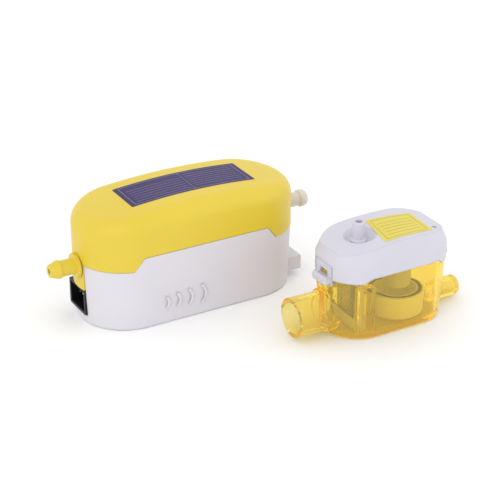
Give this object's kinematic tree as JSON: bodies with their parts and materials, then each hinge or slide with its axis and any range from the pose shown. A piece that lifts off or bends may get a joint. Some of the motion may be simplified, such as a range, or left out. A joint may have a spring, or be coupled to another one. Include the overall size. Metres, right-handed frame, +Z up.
{
  "type": "condensate pump",
  "caption": "Split condensate pump: a white and yellow pump block with socket and hose barbs, and a small amber tank with a latched lid, suction nipple, float and dirt screen.",
  "frame": {"origin": "centre of the pump block's underside, on the floor that both units stand on", "axes": "+X along the pump block towards its sensor socket and inlet barb, -Y towards the reservoir and the viewer, +Z up"},
  "size_m": [0.1541, 0.0937, 0.0492],
  "materials": {
    "white_plastic": "fine satin",
    "yellow_cover": "satin, a little translucent",
    "black_plastic": "satin",
    "brass": "drawn",
    "tinned_pins": "tinned",
    "board_green": "solder mask",
    "film_case": "moulded",
    "blue_disc": "dipped",
    "fuse_glass": "clear",
    "yoke_steel": "zinc plated",
    "copper_winding": "enamelled wire",
    "soft_rubber": "matte",
    "natural_nylon": "natural, a little translucent",
    "piston_steel": "ground",
    "spring_steel": "bright wire",
    "screw_steel": "zinc plated",
    "amber_tank": "see-through amber",
    "float_foam": "closed-cell foam",
    "magnet_ferrite": "sintered",
    "screen_plastic": "moulded mesh"
  },
  "bodies": {
    "pump_and_tank": {"base_housing": "white_plastic", "top_cover": "yellow_cover", "power_socket": "black_plastic", "power_blades": "brass", "sensor_socket": "white_plastic", "sensor_pins": "tinned_pins", "circuit_board": "board_green", "relay": "black_plastic", "capacitor": "film_case", "varistor": "blue_disc", "control_chip": "black_plastic", "fuse": "fuse_glass", "yoke_frame": "yoke_steel", "coil_bobbin": "black_plastic", "coil_winding": "copper_winding", "terminal_pins": "tinned_pins", "piston_barrel": "brass", "barrel_seals": "soft_rubber", "outlet_head": "natural_nylon", "inlet_head": "natural_nylon", "outlet_rubber": "soft_rubber", "inlet_rubber": "soft_rubber", "outlet_side_spring": "spring_steel", "inlet_side_spring": "spring_steel", "outlet_ball_spring": "spring_steel", "discharge_barb": "yellow_cover", "inlet_barb": "natural_nylon", "inlet_hose": "soft_rubber", "cover_screws": "screw_steel", "reservoir_tank": "amber_tank", "filter_frame": "white_plastic", "filter_screen": "screen_plastic"},
    "piston_set": {"piston": "piston_steel", "piston_cage": "brass", "piston_ball_spring": "spring_steel"},
    "piston_valve_ball": {"piston_ball": "soft_rubber"},
    "outlet_valve_ball": {"outlet_ball": "soft_rubber"},
    "float": {"float_ring": "float_foam", "float_magnet": "magnet_ferrite"},
    "lid": {"reservoir_lid": "white_plastic", "suction_tube": "natural_nylon", "sensor_well": "white_plastic", "sensor_board": "board_green", "level_sensors": "black_plastic"},
    "latch_left": {"lid_latch_left": "white_plastic"},
    "latch_right": {"lid_latch_right": "white_plastic"}
  },
  "joints": [
    {"name": "piston_stroke", "type": "slide", "parent": "pump_and_tank", "child": "piston_set", "axis": [1, 0, 0], "range_m": [-0.002, 0.002], "stiffness_N_per_m": 400, "deforming": ["outlet_side_spring", "inlet_side_spring"]},
    {"name": "piston_valve", "type": "slide", "parent": "piston_set", "child": "piston_valve_ball", "axis": [-1, 0, 0], "range_m": [0, 0.0012], "stiffness_N_per_m": 8, "springref_m": -0.0005, "deforming": ["piston_ball_spring"]},
    {"name": "outlet_valve", "type": "slide", "parent": "pump_and_tank", "child": "outlet_valve_ball", "axis": [-1, 0, 0], "range_m": [0, 0.0012], "stiffness_N_per_m": 8, "springref_m": -0.0005, "deforming": ["outlet_ball_spring"]},
    {"name": "float_rise", "type": "slide", "parent": "pump_and_tank", "child": "float", "axis": [0, 0, 1], "range_m": [0, 0.01]},
    {"name": "lid_lift", "type": "slide", "parent": "pump_and_tank", "child": "lid", "axis": [0, 0, 1], "range_m": [0, 0.045]},
    {"name": "left_latch_flex", "type": "hinge", "parent": "lid", "child": "latch_left", "pos_m": [0.0315, -0.0564, 0.0306], "axis": [0, 1, 0], "range_deg": [0, 13], "stiffness_Nm_per_rad": 0.002},
    {"name": "right_latch_flex", "type": "hinge", "parent": "lid", "child": "latch_right", "pos_m": [0.0847, -0.0564, 0.0306], "axis": [0, -1, 0], "range_deg": [0, 13], "stiffness_Nm_per_rad": 0.002}
  ]
}
